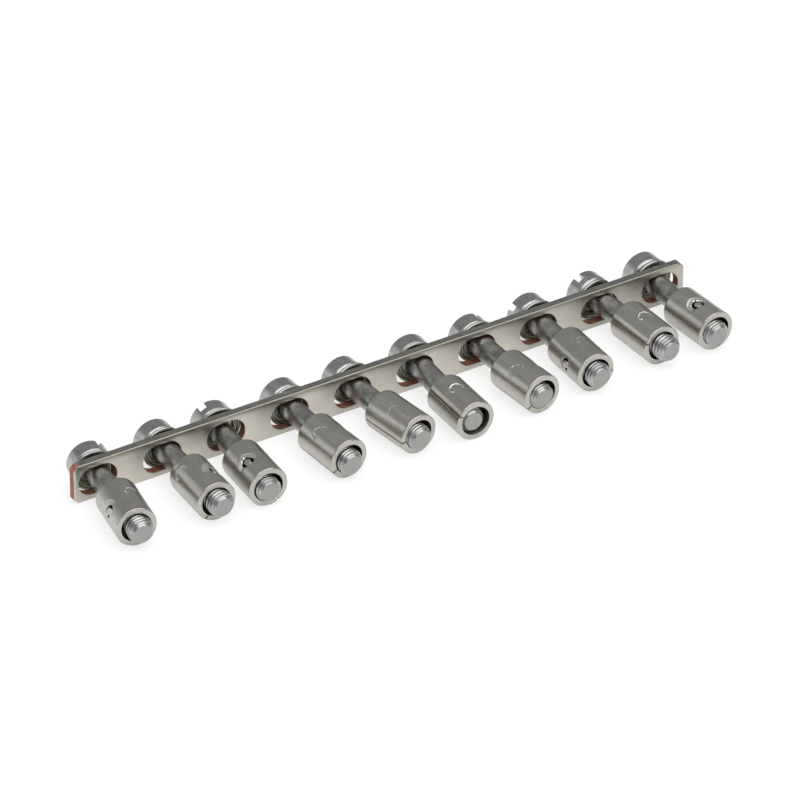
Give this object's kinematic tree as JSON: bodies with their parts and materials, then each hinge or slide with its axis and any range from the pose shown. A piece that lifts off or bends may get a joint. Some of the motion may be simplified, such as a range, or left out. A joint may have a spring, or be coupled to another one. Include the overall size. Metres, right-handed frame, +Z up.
{
  "type": "terminal block jumper bar",
  "caption": "Flat plated copper comb bar with round-ended slots, each holding a loose terminal screw with a washer and a rolled sleeve, for bridging terminals.",
  "frame": {"origin": "middle of the bar's lower long edge, at mid length and mid thickness, on the surface that it stands on", "axes": "+X along the bar, +Z up across its width, -Y the way the screws' tips point"},
  "size_m": [0.0786, 0.0161, 0.0051],
  "materials": {
    "plated_copper": "tin-plated copper with bare copper on the cropped end and slot walls",
    "zinc_plated_steel": "zinc plated, satin",
    "washer_steel": "zinc plated, finely ribbed",
    "nickel_plated_sleeve": "nickel plated, drawn lengthwise"
  },
  "bodies": {
    "root": {"jumper_bar": "plated_copper", "screw_01": "zinc_plated_steel", "screw_02": "zinc_plated_steel", "screw_03": "zinc_plated_steel", "screw_04": "zinc_plated_steel", "screw_05": "zinc_plated_steel", "screw_06": "zinc_plated_steel", "screw_07": "zinc_plated_steel", "screw_08": "zinc_plated_steel", "screw_09": "zinc_plated_steel", "screw_10": "zinc_plated_steel", "washer_01": "washer_steel", "washer_02": "washer_steel", "washer_03": "washer_steel", "washer_04": "washer_steel", "washer_05": "washer_steel", "washer_06": "washer_steel", "washer_07": "washer_steel", "washer_08": "washer_steel", "washer_09": "washer_steel", "washer_10": "washer_steel", "sleeve_01": "nickel_plated_sleeve", "sleeve_02": "nickel_plated_sleeve", "sleeve_03": "nickel_plated_sleeve", "sleeve_04": "nickel_plated_sleeve", "sleeve_05": "nickel_plated_sleeve", "sleeve_06": "nickel_plated_sleeve", "sleeve_07": "nickel_plated_sleeve", "sleeve_08": "nickel_plated_sleeve", "sleeve_09": "nickel_plated_sleeve", "sleeve_10": "nickel_plated_sleeve"}
  },
  "joints": []
}
